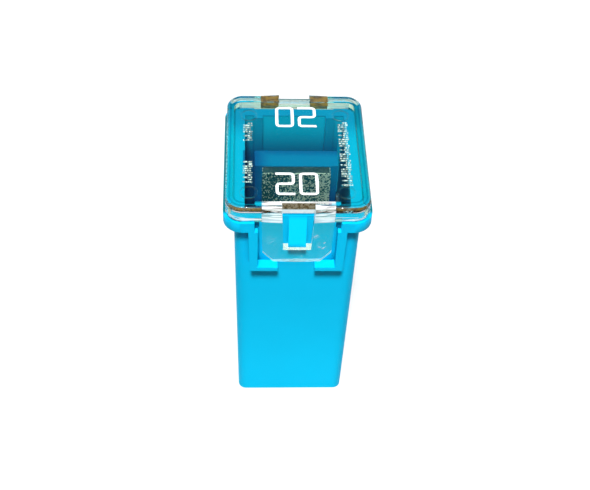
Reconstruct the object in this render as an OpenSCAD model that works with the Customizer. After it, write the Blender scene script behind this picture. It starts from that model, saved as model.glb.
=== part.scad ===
// Cartridge fuse with female terminals. A drafted box, open below, is split by a partition.
// A stamped element sits astride the partition and carries a rolled-wing clip in each bay.
// A clear cover stands on the rim and snaps over a ramped catch at front and back.
// Millimetres. The origin is the middle of the foot, +Z is up, the catches face -Y and +Y.

/* [Housing] */
// Width of the body just under the rim, the narrow way (X)
body_width = 10.7; // [9:0.1:13]
// Depth of the body just under the rim, the long way (Y)
body_depth = 13; // [11.5:0.1:16]
// Height of the underside of the rim above the foot
rim_base = 24.3; // [21:0.1:30]
// Thickness of the rim
rim_thickness = 1.1; // [0.8:0.05:1.6]
// How far the rim stands out past the body
rim_overhang = 0.9; // [0.75:0.05:1.2]
// Thickness of the outer walls at the rim
wall = 0.9; // [0.75:0.05:1.2]
// Radius of the upright edges of the body
edge_radius = 0.7; // [0.4:0.05:1]
// Draft of the outer walls in degrees
draft_angle = 0.55; // [0:0.05:1]
// Lead-in chamfer round the mouth of each bay
mouth_chamfer = 0.3; // [0.1:0.05:0.4]

/* [Partition and ribs] */
// Thickness of the partition between the bays
partition_thickness = 1.9; // [1.5:0.05:2.3]
// Width of the gap left at each end of the partition near its top
end_gap = 0.85; // [0.75:0.05:1.1]
// Height of those gaps below the link
end_gap_spare = 0.7; // [0.3:0.1:2]
// Width of the ribs that guide the plates
guide_width = 0.5; // [0.35:0.05:0.7]
// How far the guide ribs stand out from the partition
guide_proud = 0.5; // [0.35:0.05:0.55]
// Gap between the end-wall ribs and the side walls
end_rib_gap = 0.85; // [0.6:0.05:1.1]
// Width of the end-wall ribs
end_rib_width = 0.75; // [0.5:0.05:1]
// How far the end-wall ribs stand out from the wall
end_rib_proud = 0.35; // [0.2:0.05:0.5]

/* [Latch] */
// Gap between the cover's tab and the rail beside it
tab_side_gap = 0.31; // [0.2:0.01:0.4]
// Width of the rails at the rim
rail_width = 0.8; // [0.6:0.05:1]
// How far the outer side of the rails draws in towards their feet
rail_taper = 0.14; // [0:0.02:0.3]
// How much wider the gateway in the rim is than the rails, on each side
gateway_relief = 0.28; // [0.1:0.02:0.4]
// Gap between the tab's lower edge and the rails' feet
tab_foot_gap = 0.74; // [0.4:0.02:1]
// Height of the rails' feet
foot_height = 0.42; // [0.3:0.02:0.6]
// Distance from the middle to the inner end of a foot
foot_reach = 1.6; // [1.2:0.05:2]
// How far the catch stands out from the body
catch_proud = 0.6; // [0.45:0.02:0.68]
// Height of the upright face of the catch
catch_land = 0.45; // [0.3:0.05:0.7]
// Gap between the catch and each side of the window at its sill
catch_side_gap = 0.42; // [0.3:0.02:0.6]

/* [Cover] */
// Thickness of the cover's roof
roof_thickness = 0.9; // [0.7:0.05:1.1]
// Height of the cover above the rim
cover_height = 1.6; // [1.4:0.05:2]
// Thickness of the cover's skirt and tabs
cover_wall = 0.62; // [0.5:0.02:0.7]
// Fillet round the roof
cover_fillet = 0.4; // [0.2:0.05:0.55]
// Width of the tabs at the roof
tab_width = 6.06; // [5.5:0.02:6.6]
// How far each side of the tabs draws in towards their lower end
tab_taper = 0.1; // [0.02:0.02:0.2]
// How far the tabs' upper edge lies below the roof
tab_sink = 0.2; // [0.05:0.05:0.4]
// How far the tabs hang below the top of the rim
tab_drop = 4.8; // [4.3:0.05:5.3]
// Width of the cut at the tabs' lower corners
tab_cut_width = 0.92; // [0.4:0.02:1.1]
// Height of the cut at the tabs' lower corners
tab_cut_height = 1.05; // [0.6:0.05:1.4]
// Rise of the tabs' crowned face
tab_crown = 0.15; // [0.08:0.01:0.19]
// Width of the window in each tab, at the roof
window_width = 2.76; // [2.4:0.02:3.2]
// How far each side of the window draws in towards its sill
window_taper = 0.2; // [0.05:0.05:0.3]
// Height of the sill below the window
window_sill = 1.5; // [1.2:0.05:1.8]

/* [Fuse element] */
// Thickness of the plates
plate_thickness = 0.9; // [0.7:0.05:1]
// Gap between the plates and the side walls
plate_side_gap = 1.5; // [1.35:0.05:1.7]
// How far the front plate's upper edge lies below the top of the rim
plate_sink = 0.1; // [0.05:0.05:0.5]
// How far the rear plate's upper edge lies below the front plate's
rear_step = 1.2; // [1:0.1:2]
// Height of the plates' lower edge above the foot
terminal_recess = 4.6; // [4.3:0.1:5.2]
// Cut at the plates' upper corners
plate_corner = 0.15; // [0.1:0.05:0.4]
// Distance from the front plate's upper edge down to the foot of the ears
ear_drop = 8.1; // [7.6:0.1:8.4]
// Height of the ears that rest on the guide ribs
ear_height = 1; // [0.7:0.05:1.4]
// Diameter of the boss that holds the clip
boss_diameter = 1.6; // [1.3:0.05:2]
// How far the boss stands out from the plate
boss_proud = 0.5; // [0.42:0.02:0.6]
// Thickness of the link
link_thickness = 0.35; // [0.25:0.02:0.42]
// Height of the link at the plates
link_height = 1.3; // [1:0.05:1.6]
// Height of the link at its neck
link_neck = 0.6; // [0.4:0.05:0.8]
// Inner bend radius of the link
link_bend = 0.25; // [0.15:0.01:0.28]
// Distance from the front plate's upper edge down to the link
link_drop = 5.2; // [4.8:0.1:5.6]

/* [Spring clips] */
// Thickness of the spring sheet
sheet = 0.35; // [0.3:0.01:0.4]
// How far the wings start inside the plate's edge
wing_inset = 0.2; // [0.1:0.02:0.4]
// Radius of the rolls at the middle of the sheet
roll_radius = 1.05; // [0.9:0.01:1.15]
// Length of the rolled wings
roll_length = 7; // [6:0.1:8]
// Gap between the wing tips and the flat
tip_gap = 0.65; // [0.5:0.01:0.78]
// Step from the clip's flat in to its neck
shoulder = 0.85; // [0.5:0.05:1]
// Length of the clip's neck
neck_length = 5; // [4.4:0.1:6]

/* [Fits] */
// Clearance between the cover and the body
cover_clearance = 0.08; // [0.04:0.01:0.12]
// Clearance between the catch and the window sill
latch_clearance = 0.08; // [0.04:0.01:0.15]
// Clearance of the plates and bosses in their seats
seat_clearance = 0.05; // [0.03:0.01:0.08]

/* [Hidden] */
$fn = 64;
// overrun of every cut past the face it opens
overrun = wall / 2;

body_half = body_depth / 2;
lean = rim_base * tan(draft_angle);
rim_top = rim_base + rim_thickness;
rim_half = body_half + rim_overhang;
roof_base = rim_top + cover_height - roof_thickness;
total_height = rim_top + cover_height;

bay_half_width = body_width / 2 - wall;
bay_far = body_half - wall;
bay_near = partition_thickness / 2;
partition_end = bay_half_width - end_gap;

skirt_width = body_width + 2 * cover_clearance;
skirt_depth = body_depth + 2 * cover_clearance;
skirt_radius = edge_radius + cover_clearance;
cover_half = skirt_depth / 2 + cover_wall;
cover_radius = skirt_radius + cover_wall;

tab_base = rim_top - tab_drop;
tab_face = cover_half + tab_crown;
crown_radius = (pow(tab_width / 2, 2) + pow(tab_crown, 2)) / (2 * tab_crown);
sill_top = tab_base + window_sill;
catch_base = sill_top + latch_clearance;
sill_width = window_width - 2 * window_taper;
catch_width = sill_width - 2 * catch_side_gap;
rail_near = tab_width / 2 + tab_side_gap;
gateway_half = rail_near + gateway_relief;
foot_top = tab_base - tab_foot_gap;
rail_base = foot_top - foot_height;

plate_half = bay_half_width - plate_side_gap;
plate_top = rim_top - plate_sink;
rear_top = plate_top - rear_step;
guide_top = plate_top - ear_drop;
guide_near = plate_half + seat_clearance;
ear_half = guide_near + guide_width;
link_top = plate_top - link_drop;
link_inner = partition_end + link_bend;
end_gap_floor = link_top - link_height - end_gap_spare;
clip_seat = bay_near + plate_thickness;
flat_half = plate_half - wing_inset;
neck_half = flat_half - shoulder;
neck_base = terminal_recess + roll_length;
clip_top = neck_base + neck_length;
boss_height = clip_top - neck_half;
tip_angle = 180 + asin(1 - (tip_gap + sheet / 2) / roll_radius);

// Rectangle with rounded corners, centred
module rounded_rect(w, d, r) {
    square([w - 2 * r, d], center = true);
    square([w, d - 2 * r], center = true);
    for (x = [r - w / 2, w / 2 - r], y = [r - d / 2, d / 2 - r])
        translate([x, y])
            circle(r);
}

// Profile in X and Z, drawn from y0 to y1
module along_y(y0, y1) {
    translate([0, y1, 0])
        rotate([90, 0, 0])
            linear_extrude(y1 - y0)
                children();
}

// Profile in Y and Z, drawn from x0 to x1
module along_x(x0, x1) {
    translate([x0, 0, 0])
        rotate([90, 0, 90])
            linear_extrude(x1 - x0)
                children();
}

// The same feature on the front and on the back
module both_sides() {
    children();
    rotate([0, 0, 180])
        children();
}

// Trapezium that is w wide at the height h and narrower by 2 * inset at the height zero
module trapezium(w, h, inset) {
    polygon([[inset - w / 2, 0], [w / 2 - inset, 0], [w / 2, h], [-w / 2, h]]);
}

// Outer block of the body, which narrows towards the foot
module drafted_body() {
    intersection() {
        along_y(-body_half, body_half)
            trapezium(body_width, rim_base, lean);
        along_x(-body_width / 2, body_width / 2)
            trapezium(body_depth, rim_base, lean);
        linear_extrude(rim_base)
            rounded_rect(body_width, body_depth, edge_radius);
    }
}

// Top of the body and the rim round it, with a gateway at front and back for the tabs
module rim() {
    translate([0, 0, rim_base])
        difference() {
            linear_extrude(rim_thickness)
                rounded_rect(body_width + 2 * rim_overhang, 2 * rim_half, edge_radius + rim_overhang);
            for (y = [-rim_half - overrun, body_half])
                translate([-gateway_half, y, -overrun])
                    cube([2 * gateway_half, rim_overhang + overrun, rim_thickness + 2 * overrun]);
        }
}

// Pair of L-shaped rails that stand beside the tab and turn in under it
module rails() {
    for (side = [0, 1])
        mirror([side, 0, 0])
            along_y(body_half - wall / 2, rim_half)
                polygon([
                    [rail_near, rim_base],
                    [rail_near + rail_width, rim_base],
                    [rail_near + rail_width - rail_taper, rail_base],
                    [foot_reach, rail_base],
                    [foot_reach, foot_top],
                    [rail_near, foot_top]
                ]);
}

// Ramped catch that the window drops over
module catch() {
    along_x(-catch_width / 2, catch_width / 2)
        polygon([
            [body_half - wall / 2, catch_base],
            [body_half + catch_proud, catch_base],
            [body_half + catch_proud, catch_base + catch_land],
            [body_half, rim_top],
            [body_half - wall / 2, rim_top]
        ]);
}

// Bay behind the partition, with a lead-in round its mouth
module bay() {
    bay_depth = bay_far - bay_near;
    translate([-bay_half_width, bay_near, -overrun])
        cube([2 * bay_half_width, bay_depth, rim_top + 2 * overrun]);
    translate([0, (bay_near + bay_far) / 2, 0])
        intersection() {
            along_y(-body_half, body_half)
                trapezium(2 * bay_half_width, mouth_chamfer, -mouth_chamfer);
            along_x(-body_width, body_width)
                trapezium(bay_depth, mouth_chamfer, -mouth_chamfer);
        }
}

// Gaps at the ends of the partition, which let the link pass
module end_gaps() {
    for (side = [0, 1])
        mirror([side, 0, 0])
            translate([partition_end, -bay_near - overrun, end_gap_floor])
                cube([end_gap, 2 * (bay_near + overrun), rim_top - end_gap_floor + overrun]);
}

// Ribs beside a plate, with a shelf on top for its ears
module guide_ribs() {
    for (x = [-ear_half, guide_near])
        translate([x, bay_near - overrun, terminal_recess])
            cube([guide_width, overrun + guide_proud, guide_top - terminal_recess]);
}

// Ribs on the inner face of an end wall
module end_ribs() {
    far = bay_half_width - end_rib_gap;
    for (x = [-far, far - end_rib_width])
        translate([x, bay_far - end_rib_proud, terminal_recess])
            cube([end_rib_width, end_rib_proud + overrun, rim_top - terminal_recess]);
}

// Sky-blue moulding that carries everything
module housing() {
    color([0, 0.68, 0.88]) {
        difference() {
            union() {
                drafted_body();
                rim();
                both_sides() {
                    rails();
                    catch();
                }
            }
            both_sides()
                bay();
            end_gaps();
        }
        both_sides() {
            guide_ribs();
            end_ribs();
        }
    }
}

// Section of the lid's border from the middle of its corner radius outwards
module lid_border() {
    square([cover_radius, cover_height - cover_fillet]);
    square([cover_radius - cover_fillet, cover_height]);
    translate([cover_radius - cover_fillet, cover_height - cover_fillet])
        circle(cover_fillet);
}

// Block of the lid with a fillet round its roof: turned corners, drawn sides and a plain middle
module lid_block() {
    reach_x = skirt_width / 2 - skirt_radius;
    reach_y = skirt_depth / 2 - skirt_radius;
    translate([-reach_x, -reach_y, 0])
        cube([2 * reach_x, 2 * reach_y, cover_height]);
    for (x = [-reach_x, reach_x], y = [-reach_y, reach_y])
        translate([x, y, 0])
            rotate_extrude()
                lid_border();
    for (side = [0, 1]) {
        mirror([side, 0, 0])
            translate([reach_x, 0, 0])
                along_y(-reach_y, reach_y)
                    lid_border();
        mirror([0, side, 0])
            translate([0, reach_y, 0])
                along_x(-reach_x, reach_x)
                    lid_border();
    }
}

// Tab with cut corners below and a crowned outer face
module tab() {
    top = tab_width / 2;
    low = top - tab_taper;
    toe = low - tab_cut_width;
    intersection() {
        along_y(skirt_depth / 2, tab_face)
            polygon([
                [-toe, tab_base],
                [toe, tab_base],
                [low, tab_base + tab_cut_height],
                [top, total_height - tab_sink],
                [-top, total_height - tab_sink],
                [-low, tab_base + tab_cut_height]
            ]);
        translate([0, tab_face - crown_radius, tab_base])
            cylinder(r = crown_radius, h = total_height - tab_base);
    }
}

// Window through the tab, the skirt and the edge of the roof
module window() {
    top = window_width / 2;
    sill = sill_width / 2;
    along_y(skirt_depth / 2, tab_face + overrun)
        polygon([
            [-sill, sill_top],
            [sill, sill_top],
            [top, total_height],
            [top, total_height + overrun],
            [-top, total_height + overrun],
            [-top, total_height]
        ]);
}

// Clear moulding that stands on the rim
module cover() {
    color([0.86, 0.92, 0.94, 0.4])
        difference() {
            union() {
                translate([0, 0, rim_top])
                    lid_block();
                both_sides()
                    tab();
            }
            translate([0, 0, rim_top - overrun])
                linear_extrude(roof_base - rim_top + overrun)
                    rounded_rect(skirt_width, skirt_depth, skirt_radius);
            both_sides()
                window();
        }
}

// Plate against the partition, with ears that rest on the guide ribs and a boss for the clip
module plate(top) {
    half = plate_half;
    along_y(bay_near, clip_seat)
        polygon([
            [-half, terminal_recess],
            [half, terminal_recess],
            [half, guide_top],
            [ear_half, guide_top],
            [ear_half, guide_top + ear_height],
            [half, guide_top + ear_height],
            [half, top - plate_corner],
            [half - plate_corner, top],
            [plate_corner - half, top],
            [-half, top - plate_corner],
            [-half, guide_top + ear_height],
            [-ear_half, guide_top + ear_height],
            [-ear_half, guide_top],
            [-half, guide_top]
        ]);
    translate([0, clip_seat - plate_thickness / 2, boss_height])
        rotate([-90, 0, 0])
            cylinder(d = boss_diameter, h = plate_thickness / 2 + boss_proud);
}

// Thin link bent round the end of the partition, narrowed to a neck in the middle
module link() {
    outer = bay_near + link_thickness;
    middle = link_top - link_height / 2;
    neck = link_neck / 2;
    full = link_height / 2;
    intersection() {
        translate([0, 0, link_top - link_height])
            linear_extrude(link_height)
                difference() {
                    rounded_rect(2 * (link_inner + link_thickness), 2 * outer, link_bend + link_thickness);
                    rounded_rect(2 * link_inner, 2 * bay_near, link_bend);
                }
        along_x(plate_half - plate_thickness, body_width)
            translate([0, middle])
                polygon([
                    [-outer, -full],
                    [-bay_near, -full],
                    [-neck, -neck],
                    [neck, -neck],
                    [bay_near, -full],
                    [outer, -full],
                    [outer, full],
                    [bay_near, full],
                    [neck, neck],
                    [-neck, neck],
                    [-bay_near, full],
                    [-outer, full]
                ]);
    }
}

// One grey stamping: two plates and the link between them
module fuse_element() {
    color([0.45, 0.45, 0.44]) {
        plate(rear_top);
        mirror([0, 1, 0])
            plate(plate_top);
        link();
    }
}

// Rolled wing: a ring that runs on from the flat, less the sector between its tip and the flat
module rolled_wing() {
    far = 2 * (roll_radius + sheet);
    turn = (tip_angle + 270) / 2;
    difference() {
        circle(roll_radius + sheet / 2);
        circle(roll_radius - sheet / 2);
        polygon([
            [0, 0],
            [far * cos(tip_angle), far * sin(tip_angle)],
            [2 * far * cos(turn), 2 * far * sin(turn)],
            [0, -far]
        ]);
    }
}

// Rolled-wing clip on the rear plate: flat, two wings and a neck with a hole for the boss
module spring_clip() {
    flat = flat_half;
    neck = neck_half;
    difference() {
        along_y(clip_seat, clip_seat + sheet)
            polygon([
                [-flat, terminal_recess],
                [flat, terminal_recess],
                [flat, neck_base],
                [neck, neck_base + shoulder],
                [neck, clip_top - shoulder],
                [neck - shoulder, clip_top],
                [shoulder - neck, clip_top],
                [-neck, clip_top - shoulder],
                [-neck, neck_base + shoulder],
                [-flat, neck_base]
            ]);
        translate([0, clip_seat - overrun, boss_height])
            rotate([-90, 0, 0])
                cylinder(d = boss_diameter + 2 * seat_clearance, h = sheet + 2 * overrun);
    }
    for (side = [0, 1])
        mirror([side, 0, 0])
            translate([flat, clip_seat + sheet / 2 + roll_radius, terminal_recess])
                linear_extrude(roll_length)
                    rolled_wing();
}

// Tinned clip in the front bay
module front_clip() {
    color([0.74, 0.72, 0.68])
        rotate([0, 0, 180])
            spring_clip();
}

// Tinned clip in the rear bay
module rear_clip() {
    color([0.74, 0.72, 0.68])
        spring_clip();
}

housing();
cover();
fuse_element();
front_clip();
rear_clip();
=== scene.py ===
import math

import bmesh
import bpy
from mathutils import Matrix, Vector


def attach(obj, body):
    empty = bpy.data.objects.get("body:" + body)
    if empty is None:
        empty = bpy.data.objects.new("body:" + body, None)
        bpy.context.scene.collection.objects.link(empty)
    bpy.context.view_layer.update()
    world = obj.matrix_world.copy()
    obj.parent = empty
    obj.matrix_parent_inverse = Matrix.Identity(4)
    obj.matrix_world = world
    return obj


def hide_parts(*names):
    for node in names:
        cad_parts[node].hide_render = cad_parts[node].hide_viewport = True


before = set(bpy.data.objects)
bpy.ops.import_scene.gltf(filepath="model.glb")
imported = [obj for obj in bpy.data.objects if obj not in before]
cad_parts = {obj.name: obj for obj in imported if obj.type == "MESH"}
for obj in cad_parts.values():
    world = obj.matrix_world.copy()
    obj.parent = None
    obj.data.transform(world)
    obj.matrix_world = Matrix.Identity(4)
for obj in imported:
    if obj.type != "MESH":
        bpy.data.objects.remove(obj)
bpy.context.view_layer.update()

# Housing: the tall box that carries everything. One injection moulding in sky-blue polymer, with a rim,
# latch rails and ramped catches. The mould leaves a fine satin grain and rounded upright edges.
MM = 0.001
SAME_POINT = 0.0005 * MM
FLAT_ANGLE = math.radians(0.4)
EDGE_ANGLE = math.radians(28)


class Wire:
    """A socket in a material. Sums on it add Math nodes, and make() adds any other node."""

    def __init__(self, tree, socket=None):
        self.tree = tree
        self.socket = socket

    def make(self, kind, settings, sockets, out=0):
        """A new node, with its settings and the values or wires of its sockets, as the wire of one output."""
        node = self.tree.nodes.new(kind)
        for name, value in settings.items():
            setattr(node, name, value)
        for name, value in sockets.items():
            slots = [s for s in node.inputs if s.identifier == name]
            slot = slots[0] if slots else node.inputs[name]
            if isinstance(value, Wire):
                self.tree.links.new(value.socket, slot)
            else:
                slot.default_value = value
        ends = [s for s in node.outputs if s.identifier == out]
        return Wire(self.tree, ends[0] if ends else node.outputs[out])

    def sum(self, operation, a, b=0.0):
        """One Math node."""
        return self.make("ShaderNodeMath", {"operation": operation}, {"Value": a, "Value_001": b})

    def __add__(self, other):
        return self.sum("ADD", self, other)

    def __radd__(self, other):
        return self.sum("ADD", other, self)

    def __sub__(self, other):
        return self.sum("SUBTRACT", self, other)

    def __rsub__(self, other):
        return self.sum("SUBTRACT", other, self)

    def __mul__(self, other):
        return self.sum("MULTIPLY", self, other)

    def __rmul__(self, other):
        return self.sum("MULTIPLY", other, self)

    def __truediv__(self, other):
        return self.sum("DIVIDE", self, other)

    def __abs__(self):
        return self.sum("ABSOLUTE", self)

    def most(self, other):
        """The larger of the two."""
        return self.sum("MAXIMUM", self, other)

    def step(self, low, high):
        """0 below low, 1 above high and a smooth rise between."""
        places = {"Value": self, "From Min": low, "From Max": high}
        return self.make("ShaderNodeMapRange", {"interpolation_type": "SMOOTHSTEP"}, places)

    def within(self, low, high, blur):
        """1 between low and high, with a smooth rise and fall that each take the width blur."""
        return self.step(low, low + blur) * (1 - self.step(high, high + blur))

    def parts(self):
        """The X, Y and Z of a vector, as three wires."""
        node = self.make("ShaderNodeSeparateXYZ", {}, {"Vector": self}).socket.node
        return [Wire(self.tree, end) for end in node.outputs]

    def tint(self, a, b):
        """Colour a where the wire is 0 and b where it is 1."""
        ends = {"Factor_Float": self, "A_Color": a, "B_Color": b}
        return self.make("ShaderNodeMix", {"data_type": "RGBA"}, ends, "Result_Color")


def open_material(name):
    """A new empty material, a wire to build from and the wire of the place on the piece, in metres."""
    material = bpy.data.materials.new(name)
    material.use_nodes = True
    material.node_tree.nodes.clear()
    wire = Wire(material.node_tree)
    return material, wire, wire.make("ShaderNodeTexCoord", {}, {}, "Object")


def close_material(wire, shader):
    """Link the finished shader to the material's output."""
    output = wire.tree.nodes.new("ShaderNodeOutputMaterial")
    wire.tree.links.new(shader.socket, output.inputs["Surface"])


def noise(wire, place, grain, detail=2.0, rough=0.5):
    """Cloudy values from 0 to 1 with lumps about one grain across, in metres."""
    sockets = {"Vector": place, "Scale": 1.0 / grain, "Detail": detail, "Roughness": rough}
    return wire.make("ShaderNodeTexNoise", {}, sockets, "Fac")


def relief(wire, height, strength, depth):
    """The normal of a surface that a height from 0 to 1 raises by a depth in metres."""
    sockets = {"Strength": strength, "Distance": depth, "Height": height}
    return wire.make("ShaderNodeBump", {}, sockets, "Normal")


def boxed(side, end, wide, deep):
    """1 inside an upright box and 0 outside; wide and deep say where it fades."""
    return (1 - side.step(*wide)) * (1 - end.step(*deep))


def piece_from(mesh, name):
    """A new object from a mesh in the making."""
    bmesh.ops.recalc_face_normals(mesh, faces=mesh.faces)
    data = bpy.data.meshes.new(name)
    mesh.to_mesh(data)
    mesh.free()
    piece = bpy.data.objects.new(name, data)
    bpy.context.scene.collection.objects.link(piece)
    return piece


def copy_solid(node, name):
    """A new piece in the shape of a solid of the frame, with its faces joined up."""
    shell = bmesh.new()
    shell.from_mesh(node.data)
    bmesh.ops.remove_doubles(shell, verts=shell.verts, dist=SAME_POINT)
    bmesh.ops.dissolve_limit(shell, angle_limit=FLAT_ANGLE, verts=shell.verts, edges=shell.edges)
    return piece_from(shell, name)


def carve(piece, tool, operation):
    """Join a tool to a piece or cut it away, and keep the result as the piece's own mesh."""
    cut = piece.modifiers.new("carve", "BOOLEAN")
    cut.operation = operation
    cut.solver = "EXACT"
    cut.object = tool
    bpy.context.view_layer.update()
    carved = piece.evaluated_get(bpy.context.evaluated_depsgraph_get())
    whole = bpy.data.meshes.new_from_object(carved)
    piece.modifiers.clear()
    piece.data = whole
    bpy.data.objects.remove(tool)


def join_faces(piece):
    """Close the seams of a solid and clear the lines that cut its flat faces up."""
    weld = piece.modifiers.new("join_faces", "WELD")
    weld.merge_threshold = SAME_POINT
    flat = piece.modifiers.new("clear_flats", "DECIMATE")
    flat.decimate_type = "DISSOLVE"
    flat.angle_limit = FLAT_ANGLE


def soften_edges(piece, width, turns=2):
    """Round the edges of a hard solid by a small width."""
    bevel = piece.modifiers.new("soft_edges", "BEVEL")
    bevel.width = width
    bevel.segments = turns
    bevel.limit_method = "ANGLE"
    bevel.angle_limit = EDGE_ANGLE
    bevel.harden_normals = True


def even_flats(piece):
    """Shade flat faces flat, so that only the rounded edges between them turn the light."""
    piece.modifiers.new("even_flats", "WEIGHTED_NORMAL").keep_sharp = True


def dress(piece, material):
    """Give a piece one material."""
    piece.data.materials.clear()
    piece.data.materials.append(material)


BODY_HALF_WIDTH = 5.35 * MM
BODY_HALF_DEPTH = 6.5 * MM
BODY_TOP = 24.25 * MM
BODY_LEAN = 0.233 * MM
BODY_EDGE = 0.1 * MM
EDGE_TURN = 0.75 * MM
TRIM_SPARE = 0.3 * MM


def add_edge_trim(mesh, side_x, side_y, cuts=10):
    """The sliver outside one rounded upright edge of the box, which leans in towards the foot."""
    rings = []
    for level in (-TRIM_SPARE, BODY_TOP):
        inset = BODY_LEAN * (1 - level / BODY_TOP)
        x, y = BODY_HALF_WIDTH - inset - EDGE_TURN, BODY_HALF_DEPTH - inset - EDGE_TURN
        turn = [math.pi / 2 * k / cuts for k in range(cuts + 1)]
        outline = [(x + EDGE_TURN * math.cos(a), y + EDGE_TURN * math.sin(a)) for a in turn]
        far = EDGE_TURN + TRIM_SPARE
        outline += [(x, y + far), (x + far, y + far), (x + far, y)]
        rings.append([mesh.verts.new((side_x * a, side_y * b, level)) for a, b in outline])
    low, high = rings
    for k in range(len(low)):
        j = (k + 1) % len(low)
        mesh.faces.new((low[k], low[j], high[j], high[k]))
    mesh.faces.new(low)
    mesh.faces.new(high)


trims = bmesh.new()
for side_x in (-1, 1):
    for side_y in (-1, 1):
        add_edge_trim(trims, side_x, side_y)
housing = copy_solid(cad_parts["housing"], "blue_housing")
carve(housing, piece_from(trims, "edge_trims"), "DIFFERENCE")

SKY_BLUE = (0.0, 0.49, 0.80, 1.0)
SKY_BLUE_LIT = (0.0, 0.62, 1.0, 1.0)
BAY_SHADE_BLUE = (0.0, 0.185, 0.40, 1.0)
SHADE_NAVY = (0.0, 0.03, 0.09, 1.0)
DEPTH_SHADE_NAVY = (0.0, 0.03, 0.20, 1.0)
LEDGE_SHADE_TEAL = (0.0, 0.13, 0.16, 1.0)
FLOW_SIZE = 6 * MM
SATIN_GRAIN = 0.09 * MM
SATIN_DEPTH = 0.006 * MM
CREVICE = 1.3 * MM
RIM_TOP = 25.4 * MM
RIM_FACE = (25.25 * MM, 25.35 * MM)
LIT_FOOT = (0.0, 16 * MM)
CATCH_SIDE = (1.05 * MM, 1.1 * MM)
CATCH_FACE = (6.52 * MM, 6.6 * MM)
BAY_WIDE = (4.383 * MM, 4.517 * MM)
BAY_LONG = (4.928 * MM, 5.6 * MM)
BAY_DUSK = (2 * MM, 5.6 * MM)
BAY_DEPTH = (0.5 * MM, 5.5 * MM)
WELL_WIDE = (4.539 * MM, 4.673 * MM)
WELL_LONG = (5.712 * MM, 5.88 * MM)
LIT_WALL = (4.05 * MM, 4.25 * MM)
PARTITION_FACE = (0.95 * MM, 1.05 * MM)
PARTITION_REAR = (0.0, 0.95 * MM)
PARTITION_LEFT = (2.0 * MM, 3.9 * MM)
LID_WIDE = (5.88 * MM, 6.0 * MM)
LID_LONG = (7.007 * MM, 7.15 * MM)
LEDGE_SIDE = (5.96 * MM, 6.04 * MM)
LEDGE_END = (5.85 * MM, 6.55 * MM)
GATE_SIDE = (3.2 * MM, 3.6 * MM, 0.04 * MM)
GATE_WALL = (6.48 * MM, 6.5 * MM)
GATE_MOUTH = (6.8 * MM, 6.95 * MM)
GATE_SILL = (23.95 * MM, 24.15 * MM)
FLANK = (3.852 * MM, 5.618 * MM)
FLANK_TOP = (BODY_TOP, BODY_TOP + 0.1 * MM)

blue_plastic, w, place = open_material("blue_plastic")
across, along, up = place.parts()
side, end = abs(across), abs(along)
rise = w.make("ShaderNodeTexCoord", {}, {}, "Normal").parts()[2]
flow = noise(w, place, FLOW_SIZE)
grain = noise(w, place, SATIN_GRAIN, 3.0, 0.6)
nook = {"samples": 8, "only_local": True}
open_sky = w.make("ShaderNodeAmbientOcclusion", nook, {"Distance": CREVICE}, "AO")

# Painted shade: the bay and the rim top under the lid are tinted deeper blue, the rim top more so towards the
# rear end.
rim_face = boxed(side, end, LID_WIDE, LID_LONG) * up.step(*RIM_FACE)
bay_shade = boxed(side, end, BAY_WIDE, BAY_LONG)
bay_shade = bay_shade.most(rim_face * (0.3 + along.step(*BAY_DUSK) * 0.5))
# Painted light: the catch face and the lower part of the body are tinted paler where more light falls; the
# flow noise mixed in is the moulding's own tone.
catch_light = (1 - side.step(*CATCH_SIDE)) * end.step(*CATCH_FACE)
lit_foot_and_flow = ((1 - up.step(*LIT_FOOT)) * 0.8 + (flow - 0.5) * 0.3).most(catch_light * 0.6)
# Painted shade: in the well the colour darkens towards navy with depth, and more at the partition's left end
# and rear half; painted light keeps the right inner wall paler.
well = boxed(side, end, WELL_WIDE, WELL_LONG)
lit = well * across.step(*LIT_WALL)
deep = well * (RIM_TOP - up).step(*BAY_DEPTH) * (0.85 - lit * 0.5)
lee_shade = ((0 - across).step(*PARTITION_LEFT) * 0.7).most(along.step(*PARTITION_REAR) * 0.45)
deep = deep.most(well * lee_shade * (1 - end.step(*PARTITION_FACE)))
# Painted shade: the upward rim ledge beside the lid's long sides is tinted dark teal.
ledge_shade = side.step(*LEDGE_SIDE) * rise.step(0.2, 0.6) * (1 - end.step(*LEDGE_END))
# Painted shade: crevices found by ambient occlusion, the gap beside each tab below the rim and the body's
# upright edges are tinted towards navy.
gate_shade = side.within(*GATE_SIDE) * up.step(*GATE_SILL)
gate_shade = gate_shade * end.step(*GATE_WALL) * (1 - end.step(*GATE_MOUTH))
flank = side.step(*FLANK) * (1 - up.step(*FLANK_TOP))
shaded = (1 - open_sky.step(0.1, 0.75)) * (1 - rise.step(0.4, 0.8)) * (1 - lit * 0.7) * 0.85
shaded = shaded.most(gate_shade * 0.9).most(flank * 0.13)
colour = bay_shade.tint(lit_foot_and_flow.tint(SKY_BLUE, SKY_BLUE_LIT), BAY_SHADE_BLUE)
colour = shaded.tint(ledge_shade.tint(colour, LEDGE_SHADE_TEAL), SHADE_NAVY)
close_material(w, w.make("ShaderNodeBsdfPrincipled", {}, {
    "Base Color": deep.tint(colour, DEPTH_SHADE_NAVY),
    "Roughness": 0.36 + grain * 0.12,
    "Specular IOR Level": 0.07,
    "Normal": relief(w, grain, 0.25, SATIN_DEPTH),
}, "BSDF"))

dress(housing, blue_plastic)
housing.data.shade_smooth()
join_faces(housing)
soften_edges(housing, BODY_EDGE)
even_flats(housing)
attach(housing, "root")
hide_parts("housing")

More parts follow.
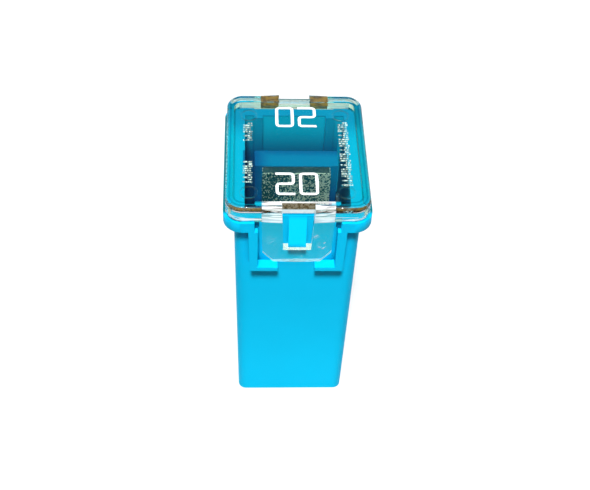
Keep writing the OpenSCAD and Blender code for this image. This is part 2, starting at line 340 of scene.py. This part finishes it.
# Fuse element: one strip of zinc alloy, stamped and folded round the partition. Its faces are dull grey with
# a fine speckle, because the alloy is left as rolled, but are coloured blue-teal as a painted reflection of
# the blue housing. Painted shade darkens the plate tops.
ZINC_REFLECTED_BLUE = (0.0, 0.12, 0.165, 1.0)
ZINC_SHADE = (0.0, 0.06, 0.10, 1.0)
ZINC_SHADOW = (0.0, 0.02, 0.05, 1.0)
ZINC_PALE = (0.80, 0.86, 0.78, 1.0)
CLOUD_SIZE = 2.2 * MM
DOT_SIZE = 0.135 * MM
DOT_DEPTH = 0.012 * MM
DOTS_RIGHT = 32
STAMPED_EDGE = 0.05 * MM
PLATE_TOP = (25.22 * MM, 25.26 * MM)
PLATE_SIDE = (2.95 * MM, 3.05 * MM)
PLATE_FOLD = (-1.75 * MM, -1.69 * MM)
PLATE_SHADOW_TOP = (20.5 * MM, 22.0 * MM)

zinc, w, place = open_material("zinc")
across, along, up = place.parts()
cloud = noise(w, place, CLOUD_SIZE, 3.0)
dots = noise(w, place, DOT_SIZE, 0.0)
face = 1 - up.step(*PLATE_TOP)
flat = 1 - abs(across).step(*PLATE_SIDE)
speckle = (dots + (cloud - 0.5) * 0.3 + across * DOTS_RIGHT).step(0.51, 0.56)
# Painted highlight: a dotted pale line along the front edge of the front plate's top.
fold_glint = (1 - face) * (1 - along.step(*PLATE_FOLD)) * dots.step(0.4, 0.5)
speckle = (speckle * (0.05 + face * 0.95)).most(fold_glint) * flat
colour = face.tint(ZINC_SHADE, ZINC_REFLECTED_BLUE)
colour = (speckle * 0.85 + cloud * 0.06).tint(colour, ZINC_PALE)
# Painted shadow: below about 21 mm the zinc fades to near black.
close_material(w, w.make("ShaderNodeBsdfPrincipled", {}, {
    "Base Color": up.step(*PLATE_SHADOW_TOP).tint(ZINC_SHADOW, colour),
    "Metallic": flat * 0.55,
    "Roughness": 0.34 + cloud * 0.2,
    "Specular IOR Level": 0.15,
    "Normal": relief(w, speckle, 0.5, DOT_DEPTH),
}, "BSDF"))

element = copy_solid(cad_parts["fuse_element"], "zinc_element")
dress(element, zinc)
element.data.shade_smooth()
soften_edges(element, STAMPED_EDGE)
even_flats(element)
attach(element, "root")
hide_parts("fuse_element")

# Spring clips: copper-alloy strip with a bright tin plate, its wings rolled over to grip a blade. Each is
# pressed onto the boss of its plate. Draw lines run along the strip.
TIN = (0.70, 0.69, 0.66, 1.0)
TIN_WORN = (0.56, 0.53, 0.48, 1.0)
DRAW_STRETCH = (1.0, 1.0, 0.06)
DRAW_WIDTH = 0.06 * MM
DRAW_DEPTH = 0.004 * MM
STAIN_SIZE = 1.2 * MM

tin, w, place = open_material("tin_plate")
drawn = w.make("ShaderNodeMapping", {}, {"Vector": place, "Scale": DRAW_STRETCH}, "Vector")
lines = noise(w, drawn, DRAW_WIDTH)
stain = noise(w, place, STAIN_SIZE, 4.0, 0.6).step(0.5, 0.75)
close_material(w, w.make("ShaderNodeBsdfPrincipled", {}, {
    "Base Color": stain.tint(TIN, TIN_WORN),
    "Metallic": 1.0,
    "Roughness": 0.2 + lines * 0.1 + stain * 0.15,
    "Normal": relief(w, lines, 0.2, DRAW_DEPTH),
}, "BSDF"))

for name in ("front_clip", "rear_clip"):
    clip = copy_solid(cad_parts[name], "tinned_" + name)
    dress(clip, tin)
    clip.data.shade_smooth()
    soften_edges(clip, STAMPED_EDGE)
    even_flats(clip)
    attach(clip, "root")
    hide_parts(name)

# Cover: a clear moulded lid whose skirt stands on the rim and whose tabs latch over the catches. Under its
# roof it has four round ejector marks, rows of plain moulded bars and a lip behind each notch.
COVER_TOP = 27.0 * MM
ROOF_UNDER = 26.1 * MM
ROOF_SINK = 0.1 * MM
COVER_EDGE = 0.07 * MM
BAR_WIDTH = 0.12 * MM
BAR_DROP = 0.12 * MM
BAR_PITCH = 0.27
BAR_ROWS = [(-4.2, 1.6, 9, 0.88), (-4.2, -3.6, 10, 0.88), (4.2, -3.95, 30, 1.0)]
BARS = [(0.0, 0.95), (-0.2, 0.5), (0.08, 0.72), (0.0, 0.9), (0.22, 0.45), (-0.06, 0.8), (0.12, 0.66)]
LIP_HALF = 1.38 * MM
LIP_FACE = 6.57 * MM
LIP_BACK = 6.25 * MM
LIP_LOW = 25.8 * MM
RING_INNER = 0.65 * MM
RING_OUTER = 0.75 * MM
RING_DROP = 0.05 * MM
RING_PLACES = [(x * 4.1 * MM, y * 4.85 * MM) for x in (-1, 1) for y in (-1, 1)]


def add_bar(mesh, centre, length):
    """One closed bar with round ends, half of it sunk in the roof."""
    made = bmesh.ops.create_uvsphere(mesh, u_segments=10, v_segments=7, radius=0.5)
    for v in made["verts"]:
        reach = v.co.z * BAR_WIDTH + math.copysign((length - BAR_WIDTH) / 2, v.co.z)
        v.co = Vector((reach, v.co.x * BAR_WIDTH, v.co.y * 2 * BAR_DROP)) + Vector(centre)


def add_ring(mesh, centre, sides=40):
    """One closed flat ring that stands a little below the roof."""
    low, high = ROOF_UNDER - RING_DROP, ROOF_UNDER + ROOF_SINK
    corners = ((RING_INNER, low), (RING_OUTER, low), (RING_OUTER, high), (RING_INNER, high))
    loops = []
    for radius, level in corners:
        turn = [math.tau * k / sides for k in range(sides)]
        loops.append([
            mesh.verts.new((centre[0] + radius * math.cos(a), centre[1] + radius * math.sin(a), level))
            for a in turn
        ])
    for k in range(sides):
        j = (k + 1) % sides
        for a, b in ((0, 1), (1, 2), (2, 3), (3, 0)):
            mesh.faces.new((loops[a][k], loops[b][k], loops[b][j], loops[a][j]))


def add_lip(mesh, side):
    """The block that hangs from the roof behind the notch of one latch side."""
    for v in bmesh.ops.create_cube(mesh, size=1.0)["verts"]:
        v.co.x *= 2 * LIP_HALF
        v.co.y = side * (LIP_FACE if v.co.y > 0 else LIP_BACK)
        v.co.z = ROOF_UNDER + ROOF_SINK if v.co.z > 0 else LIP_LOW


marks = bmesh.new()
for x, y, count, spread in BAR_ROWS:
    for row in range(count):
        shift, length = BARS[(row * row + 3 * row) % len(BARS)]
        centre = ((x + shift * spread) * MM, (y + row * BAR_PITCH) * MM, ROOF_UNDER)
        add_bar(marks, centre, length * spread * MM)
for latch_side in (-1, 1):
    add_lip(marks, latch_side)
for centre in RING_PLACES:
    add_ring(marks, centre)
lid = copy_solid(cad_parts["cover"], "clear_cover")
carve(lid, piece_from(marks, "roof_marks"), "UNION")

CLEAR = (0.70, 0.97, 0.84, 1.0)
CLEAR_DEEP = (0.78, 0.95, 0.82, 1.0)
CLEAR_SIDE = (0.48, 0.93, 0.58, 1.0)
REFRACTION_LINE_TEAL = (0.05, 0.38, 0.36, 1.0)
SEAT_RIM_REFLECTION = (0.02, 0.62, 0.74, 1.0)
SHADE = (0.80, 0.87, 0.86, 1.0)
TAB_SHADE = (0.90, 0.96, 0.96, 1.0)
EDGE_SHADE = (0.4, 0.52, 0.56, 1.0)
FROST_AND_GLARE_WHITE = (0.95, 0.95, 0.94, 1.0)
FROST_WARM_REFLECTION = (0.97, 0.84, 0.74, 1.0)
AMBER_REFLECTION = (0.18, 0.115, 0.02, 1.0)
AMBER_REFLECTION_DARK = (0.07, 0.05, 0.02, 1.0)
AMBER_REFLECTION_PALE = (0.40, 0.35, 0.23, 1.0)
DIM_GLOSS = (0.15, 0.15, 0.15, 1.0)
CLEAR_IOR = 1.5
HAZE_SIZE = 1.4 * MM
RIPPLE_SIZE = 0.9 * MM
RIPPLE_DEPTH = 0.02 * MM
LID_HALF_WIDTH = 6.05 * MM
LID_HALF_DEPTH = 7.2 * MM
LID_TURN = 1.4 * MM
EDGE_REFRACTION_LINES = [(0.0, 0.08, 0.7), (0.28, 0.15, 0.85), (0.62, 0.18, 0.8)]
ROOF_TOP = (26.3 * MM, 26.4 * MM)
SKIRT = (25.4 * MM, 25.6 * MM)
SKIRT_FOOT = (25.4 * MM, 25.45 * MM)
PANE_SIDE = (5.2 * MM, 5.5 * MM)
PANE_END = (5.75 * MM, 6.25 * MM)


def edge_distance(place):
    """How far a point of the lid lies in from the rounded outline, up to the radius of its corners."""
    across, along = place.parts()[:2]
    x = (abs(across) - (LID_HALF_WIDTH - LID_TURN)).most(0.0)
    y = (abs(along) - (LID_HALF_DEPTH - LID_TURN)).most(0.0)
    return LID_TURN - place.sum("SQRT", x * x + y * y)


def mix_looks(wire, share, first, second):
    """The first shader where the share is 0 and the second where it is 1."""
    ends = {"Fac": share, "Shader": first, "Shader_001": second}
    return wire.make("ShaderNodeMixShader", {}, ends, "Shader")


def ray_is(wire, kind):
    """1 for rays of one kind and 0 for the rest."""
    return wire.make("ShaderNodeLightPath", {}, {}, kind)


def clear_look(wire, place, frost_and_glare, veil, shade):
    """Clear plastic, whitened by a factor in the colour veil that holds frost and painted glare, glints and
    reflections. Light for the parts under it passes through.
    """
    across, along, up = place.parts()
    inset = edge_distance(place)
    # Painted shade: teal lines on the roof top near its rounded outline stand in for refraction at the edge.
    lines = 0.0
    for start, width, strength in EDGE_REFRACTION_LINES:
        off_line = abs(inset - (start + width / 2) * MM) / (width / 2 * MM)
        lines = ((1 - off_line.step(0.5, 1.4)) * strength).most(lines)
    lines = lines * up.step(*ROOF_TOP)
    flank = abs(across).step(*PANE_SIDE) * (1 - abs(along).step(*PANE_END))
    pane = up.step(*SKIRT).tint(CLEAR, flank.tint(CLEAR_DEEP, CLEAR_SIDE))
    haze = noise(wire, place, HAZE_SIZE, 3.0)
    ripple = noise(wire, place, RIPPLE_SIZE, 1.0)
    clear = wire.make("ShaderNodeBsdfPrincipled", {}, {
        "Base Color": lines.tint(pane, REFRACTION_LINE_TEAL),
        "Roughness": haze * 0.06,
        "IOR": CLEAR_IOR,
        "Specular Tint": DIM_GLOSS,
        "Transmission Weight": 1.0,
        "Normal": relief(wire, ripple, 0.12, RIPPLE_DEPTH),
    }, "BSDF")
    white = wire.make("ShaderNodeBsdfPrincipled", {}, {"Base Color": veil, "Roughness": 0.5}, "BSDF")
    roof = wire.make("ShaderNodeBsdfTransparent", {}, {"Color": shade}, "BSDF")
    tab = wire.make("ShaderNodeBsdfTransparent", {}, {"Color": TAB_SHADE}, "BSDF")
    passing = mix_looks(wire, up.step(*SKIRT_FOOT), tab, roof)
    light = ray_is(wire, "Is Shadow Ray").most(ray_is(wire, "Is Diffuse Ray"))
    return mix_looks(wire, light, mix_looks(wire, frost_and_glare, clear, white), passing)


STREAK_STRETCH = (0.12, 1.0, 1.0)
STREAK_WIDTH = 0.4 * MM
THREAD_STRETCH = (0.05, 1.0, 1.0)
THREAD_WIDTH = 0.14 * MM
PATCH_SIZE = 0.4 * MM
GLINT_SIZE = 0.17 * MM
REAR = (0.0, 0.5 * MM)
LEG_SIDE = (2.98 * MM, 3.08 * MM)
POST_SIDE = (1.4 * MM, 1.45 * MM)
SKIRT_LOW = (25.35 * MM, 25.45 * MM)
SKIRT_OUTER = (6.75 * MM, 6.85 * MM)
SKIRT_INNER = (6.5 * MM, 6.55 * MM)
SKIRT_INNER_TOP = (26.0 * MM, 26.1 * MM)
BROW_END = (6.35 * MM, 6.9 * MM, 0.1 * MM)
BROW_LOW = (26.5 * MM, 26.65 * MM)
WRAP_INSET = (0.3 * MM, 0.4 * MM)
WRAP_END = (5.7 * MM, 6.1 * MM)
GLARE_LOW = (25.5 * MM, 25.9 * MM, 0.1 * MM)
GLARE_HIGH = (26.45 * MM, 26.57 * MM, 0.06 * MM)
AMBER_REFLECTION_LINE = (26.66 * MM, 26.88 * MM, 0.05 * MM)
AMBER_REFLECTION_BAND = (6.12 * MM, 7.08 * MM, 0.05 * MM)
MARKS_LOW = (25.6 * MM, 25.7 * MM)
MARKS_TOP = (26.07 * MM, 26.09 * MM)
MARKS_END = (4.0 * MM, 4.05 * MM)
SEAT_TOP = (25.41 * MM, 25.43 * MM)
SEAT_END = (6.3 * MM, 6.4 * MM)
SCUFF_FACE = (-7 * MM, -6.5 * MM)
SCUFF_LEAN = math.radians(38)
SCUFF_STRETCH = 0.16
SCUFF_WIDTH = 0.13 * MM
SCUFFS = [(2.15, 22.6, 0.55, 0.7), (1.55, 23.75, 0.35, 0.4), (-2.2, 23.2, 0.7, 0.15)]

clear_plastic, w, place = open_material("clear_plastic")
across, along, up = place.parts()
side, end = abs(across), abs(along)
smeared = w.make("ShaderNodeMapping", {}, {"Vector": place, "Scale": STREAK_STRETCH}, "Vector")
streak = noise(w, smeared, STREAK_WIDTH)
combed = w.make("ShaderNodeMapping", {}, {"Vector": place, "Scale": THREAD_STRETCH}, "Vector")
thread = noise(w, combed, THREAD_WIDTH)
patch = noise(w, place, PATCH_SIZE)
glint = noise(w, place, GLINT_SIZE, 1.0)

rear = along.step(*REAR)
leg = 1 - side.step(*LEG_SIDE)
post = leg * side.step(*POST_SIDE)
above = up.step(*SKIRT_LOW)
outer = end.step(*SKIRT_OUTER) * above
inner = end.step(*SKIRT_INNER) * above * (1 - up.step(*SKIRT_INNER_TOP))
corner = (1 - leg) * (1 - edge_distance(place).step(*WRAP_INSET)) * end.step(*WRAP_END)

# Painted highlights: white glare on the legs' top edge and front faces, on the skirt at the corners and on
# the inner skirt faces, mixed with frost.
brow_glare = leg * end.within(*BROW_END) * up.step(*BROW_LOW) * (1 - rear)
frost_and_glare = brow_glare * (0.2 + thread.step(0.42, 0.54) * 0.6)
frost_and_glare = frost_and_glare.most(leg * outer * (1 - rear) * thread.step(0.44, 0.56) * 0.65)
glare = up.within(*GLARE_LOW) * streak.step(0.44, 0.54) * 0.75
glare = glare.most(up.within(*GLARE_HIGH) * streak.step(0.4, 0.5) * 0.7)
frost_and_glare = frost_and_glare.most(corner * glare)
lining_glow = inner * leg.most(rear) * (1 - post * rear)
frost_and_glare = frost_and_glare.most(lining_glow * (0.25 + rear * 0.3 + thread * 0.5))
# Painted glints: the moulded bars under the roof are whitened in patches.
marked = up.step(*MARKS_LOW) * (1 - up.step(*MARKS_TOP)) * (1 - end.step(*MARKS_END))
frost_and_glare = frost_and_glare.most(marked * (0.08 + glint.step(0.48, 0.56) * 0.72))
slant = w.make("ShaderNodeCombineXYZ", {}, {
    "X": (across * math.cos(SCUFF_LEAN) + up * math.sin(SCUFF_LEAN)) * SCUFF_STRETCH,
    "Z": up * math.cos(SCUFF_LEAN) - across * math.sin(SCUFF_LEAN),
}, "Vector")
rub = noise(w, slant, SCUFF_WIDTH).step(0.5, 0.62) * (1 - along.step(*SCUFF_FACE))
for x, z, size, strength in SCUFFS:
    reach = (across - x * MM) * (across - x * MM) + (up - z * MM) * (up - z * MM)
    spot = 1 - (reach / (size * MM) ** 2).step(0.1, 1.0)
    frost_and_glare = frost_and_glare.most(spot * rub * strength)

# Painted reflection: amber and brown on the leg posts, the rear skirt band and the front corners, and the
# warm tint of the rear inner skirt, stand in for a brown surface below seen in the plastic.
amber_reflection = (post * outer * 0.25).most(post * end.within(*AMBER_REFLECTION_BAND) * above * rear * 0.9)
amber_reflection = amber_reflection.most(corner * up.within(*AMBER_REFLECTION_LINE) * (1 - rear) * (0.3 + streak * 0.6))
# Painted reflection: the foot of the skirt, where it stands on the rim, is frosted blue in place of the blue
# rim seen through it.
seat_reflection = (1 - up.step(*SEAT_TOP)) * (1 - leg * end.step(*SEAT_END))
brown_reflection = patch.step(0.35, 0.6).tint(AMBER_REFLECTION_DARK, AMBER_REFLECTION)
veil = (frost_and_glare - amber_reflection).step(-0.1, 0.1).tint(brown_reflection, (inner * rear).tint(FROST_AND_GLARE_WHITE, FROST_WARM_REFLECTION))
frost_and_glare = frost_and_glare.most(amber_reflection).most(seat_reflection * 0.4)
close_material(w, clear_look(w, place, frost_and_glare, seat_reflection.tint(veil, SEAT_RIM_REFLECTION), SHADE))

ROUGH_SIZE = 0.3 * MM
NOTCH_LOW = (26.22 * MM, 26.28 * MM)

# Painted light: the cut faces of the tabs, notches and lips are whitened as if lit by light piped through the
# plastic, and the upper front notch faces carry painted amber reflection.
painted_edge_glow, w, place = open_material("painted_edge_glow")
along, up = place.parts()[1:]
rough = noise(w, place, ROUGH_SIZE)
raised = up.step(*SKIRT)
notch = up.step(*NOTCH_LOW)
amber_reflection_tone = rough.step(0.35, 0.6).tint(AMBER_REFLECTION, AMBER_REFLECTION_PALE)
veil = (raised * (1 - along.step(*REAR)) * notch).tint(FROST_AND_GLARE_WHITE, amber_reflection_tone)
frost_and_glare = 0.1 + rough * 0.3 + raised * (0.45 - notch * 0.2)
close_material(w, clear_look(w, place, frost_and_glare, veil, EDGE_SHADE))

NOTCH_HALF = 1.4 * MM
NOTCH_FACE = 6.58 * MM
NOTCH_SPARE = 0.02 * MM
LIP_SPARE = 0.005 * MM
TAB_TOP = RIM_TOP - 0.1 * MM

# The tab edges, notch faces and lip faces take the painted edge glow.
dress(lid, clear_plastic)
lid.data.materials.append(painted_edge_glow)
for face in lid.data.polygons:
    x, y, z = face.center
    tab_edge = z < TAB_TOP and abs(face.normal.y) < 0.5 and face.normal.z < 0.5
    notch_face = z > ROOF_UNDER and abs(abs(y) - NOTCH_FACE) < NOTCH_SPARE
    lip_face = LIP_LOW < z < ROOF_UNDER and abs(abs(y) - LIP_FACE) < LIP_SPARE
    if tab_edge or abs(x) < NOTCH_HALF and (notch_face or lip_face):
        face.material_index = 1
soften_edges(lid, COVER_EDGE)
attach(lid, "root")
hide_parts("cover")

# Rating numerals: white ink printed on the roof, one set for each latch side so that it reads from either.
# The digits are squared, with small rounded turns and an even stroke.
INK_WHITE = (0.92, 0.93, 0.93, 1.0)
INK_THIN = (0.86, 0.87, 0.87, 1.0)
INK_STROKE = 0.25 * MM
INK_HEIGHT = 0.012 * MM
INK_LIFT = 0.002 * MM
INK_TURN = 0.26 * MM
MOTTLE_SIZE = 0.1 * MM
MOTTLE_DEPTH = 0.003 * MM
DIGIT_WIDTH = 1.62 * MM
DIGIT_HEIGHT = 2.64 * MM
DIGIT_SHIFT = 0.99 * MM
DIGIT_SIDE = (DIGIT_WIDTH - INK_STROKE) / 2
DIGIT_TOP = (DIGIT_HEIGHT - INK_STROKE) / 2
TWO = [
    (-DIGIT_WIDTH / 2, DIGIT_TOP), (DIGIT_SIDE, DIGIT_TOP), (DIGIT_SIDE, 0),
    (-DIGIT_SIDE, 0), (-DIGIT_SIDE, -DIGIT_TOP), (DIGIT_WIDTH / 2, -DIGIT_TOP),
]
NOUGHT = [
    (-DIGIT_SIDE, DIGIT_TOP), (DIGIT_SIDE, DIGIT_TOP), (DIGIT_SIDE, -DIGIT_TOP), (-DIGIT_SIDE, -DIGIT_TOP),
]
NUMERALS = [
    ("front_numerals", -0.08 * MM, -4.33 * MM, 1),
    ("rear_numerals", 0.04 * MM, 4.08 * MM, -1),
]


def rounded_route(corners, closed, cuts=6):
    """Points along straight runs, with each corner between them rounded."""
    points = []
    count = len(corners)
    for k, corner_place in enumerate(corners):
        here = Vector(corner_place)
        if not closed and k in (0, count - 1):
            points.append(here)
            continue
        back = (Vector(corners[k - 1]) - here).normalized()
        on = (Vector(corners[(k + 1) % count]) - here).normalized()
        centre = here + (back + on) * INK_TURN
        for c in range(cuts + 1):
            a = math.pi / 2 * c / cuts
            points.append(centre - (on * math.cos(a) + back * math.sin(a)) * INK_TURN)
    return points


def ink_stroke(mesh, route, closed, put):
    """A flat stroke of even width along a route; put() carries a point to its place on the roof."""
    count = len(route)
    rows = []
    for k, here in enumerate(route):
        before = route[k - 1] if closed or k else here
        after = route[(k + 1) % count] if closed or k < count - 1 else here
        way = (after - before).normalized()
        aside = Vector((-way.y, way.x)) * INK_STROKE / 2
        rows.append([
            mesh.verts.new(put(here + s * aside, z))
            for s, z in ((-1, 0), (1, 0), (1, INK_HEIGHT), (-1, INK_HEIGHT))
        ])
    for k in range(count if closed else count - 1):
        a, b = rows[k], rows[(k + 1) % count]
        for i in range(4):
            j = (i + 1) % 4
            mesh.faces.new((a[i], a[j], b[j], b[i]))
    if not closed:
        mesh.faces.new(rows[0])
        mesh.faces.new(rows[-1])


ink, w, place = open_material("white_ink")
mottle = noise(w, place, MOTTLE_SIZE)
close_material(w, w.make("ShaderNodeBsdfPrincipled", {}, {
    "Base Color": mottle.tint(INK_THIN, INK_WHITE),
    "Roughness": 0.45 + mottle * 0.1,
    "Normal": relief(w, mottle, 0.15, MOTTLE_DEPTH),
}, "BSDF"))

for name, x, y, turned in NUMERALS:
    strokes = bmesh.new()
    for corners, closed, shift in ((TWO, False, -DIGIT_SHIFT), (NOUGHT, True, DIGIT_SHIFT)):
        ink_stroke(strokes, rounded_route(corners, closed), closed, lambda point, z: (
            x + turned * (point.x + shift), y + turned * point.y, COVER_TOP + INK_LIFT + z))
    numerals = piece_from(strokes, name)
    dress(numerals, ink)
    numerals.visible_shadow = False
    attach(numerals, "root")

# Set: a plain pale floor under soft studio light, with the camera at the photograph's place. The floor is
# white to the eye, partly white in reflections, and keeps the shadow of the fuse.
WHITE = (1.0, 1.0, 1.0, 1.0)
PAPER = (0.80, 0.80, 0.80, 1.0)
PAPER_PALE = (0.84, 0.84, 0.84, 1.0)
PAPER_DULL = (0.19, 0.185, 0.175, 1.0)
PAPER_GRAIN = 0.4 * MM
FLOOR_SIZE = 1.5
FLOOR_NEAR = 0.08
FLOOR_FAR = 0.45
FLOOR_GLOSS = 0.35

floor_mesh = bmesh.new()
bmesh.ops.create_grid(floor_mesh, x_segments=1, y_segments=1, size=FLOOR_SIZE / 2)
floor = piece_from(floor_mesh, "floor")


def seen_by_eye(wire, gloss_share):
    """1 for what the camera sees, a share for gloss and clear pieces, and 0 for light that goes on."""
    glossy = ray_is(wire, "Is Glossy Ray").most(ray_is(wire, "Is Transmission Ray"))
    return ray_is(wire, "Is Camera Ray").most(glossy * gloss_share)


paper, w, place = open_material("floor_paper")
across, along = place.parts()[:2]
tooth = noise(w, place, PAPER_GRAIN)
matt = w.make("ShaderNodeBsdfPrincipled", {}, {
    "Base Color": tooth.tint(PAPER, PAPER_PALE),
    "Roughness": 0.8,
}, "BSDF")
glow = w.make("ShaderNodeEmission", {}, {"Color": WHITE, "Strength": 1.0}, "Emission")
dull = w.make("ShaderNodeBsdfDiffuse", {}, {"Color": PAPER_DULL}, "BSDF")
far = (across * across + along * along).step(FLOOR_NEAR ** 2, FLOOR_FAR ** 2)
white_paper = mix_looks(w, 0.7 + far * 0.3, matt, glow)
close_material(w, mix_looks(w, seen_by_eye(w, FLOOR_GLOSS), dull, white_paper))
dress(floor, paper)

ROOM_GREY = (0.12, 0.13, 0.15, 1.0)
WALL_GREY = (0.55, 0.55, 0.55, 1.0)
CEILING_BROWN = (0.12, 0.10, 0.07, 1.0)
CEILING_HEIGHT = (0.3, 0.65)

world = bpy.data.worlds.new("studio")
bpy.context.scene.world = world
world.use_nodes = True
world.node_tree.nodes.clear()
w = Wire(world.node_tree)
height = w.make("ShaderNodeTexCoord", {}, {}, "Generated").parts()[2]
dome = height.step(*CEILING_HEIGHT).tint(WALL_GREY, CEILING_BROWN)
dome = seen_by_eye(w, 1.0).tint(ROOM_GREY, dome)
dome = ray_is(w, "Is Camera Ray").tint(dome, WHITE)
sky = w.make("ShaderNodeBackground", {}, {"Color": dome, "Strength": 1.0}, "Background")
output = world.node_tree.nodes.new("ShaderNodeOutputWorld")
world.node_tree.links.new(sky.socket, output.inputs["Surface"])

FUSE_MIDDLE = (0.0, 0.0, 0.014)
KEY_PLACE = (-0.045, -0.405, 0.815)
KEY_WIDTH = 0.13
KEY_POWER = 14.6
LEFT_FILL_PLACE = (-0.62, 0.45, 0.13)
RIGHT_FILL_PLACE = (0.62, 0.45, 0.13)
FILL_WIDTH = 0.25
FILL_POWER = 3.6


def softbox(name, place, width, power, glints):
    """A square studio lamp that faces the fuse, and shows in gloss and clear plastic only if it glints."""
    lamp = bpy.data.lights.new(name, "AREA")
    lamp.size = width
    lamp.energy = power
    body = bpy.data.objects.new(name, lamp)
    bpy.context.scene.collection.objects.link(body)
    body.location = place
    body.rotation_euler = (Vector(FUSE_MIDDLE) - Vector(place)).to_track_quat("-Z", "Y").to_euler()
    body.visible_glossy = body.visible_transmission = glints


softbox("key_softbox", KEY_PLACE, KEY_WIDTH, KEY_POWER, True)
softbox("left_fill", LEFT_FILL_PLACE, FILL_WIDTH, FILL_POWER, False)
softbox("right_fill", RIGHT_FILL_PLACE, FILL_WIDTH, FILL_POWER, False)

CAMERA_PLACE = (-3.966 * MM, -65.849 * MM, 87.534 * MM)
CAMERA_TURN = [math.radians(a) for a in (42.104, -1.881, -1.605)]
CAMERA_LENS = 63.253
CAMERA_SENSOR = 36.0
CAMERA_NEAR = 0.005

camera = bpy.data.cameras.new("camera")
camera.lens = CAMERA_LENS
camera.sensor_width = CAMERA_SENSOR
camera.clip_start = CAMERA_NEAR
view = bpy.data.objects.new("camera", camera)
bpy.context.scene.collection.objects.link(view)
view.location = CAMERA_PLACE
view.rotation_euler = CAMERA_TURN
bpy.context.scene.camera = view
bpy.context.scene.view_settings.view_transform = "Standard"
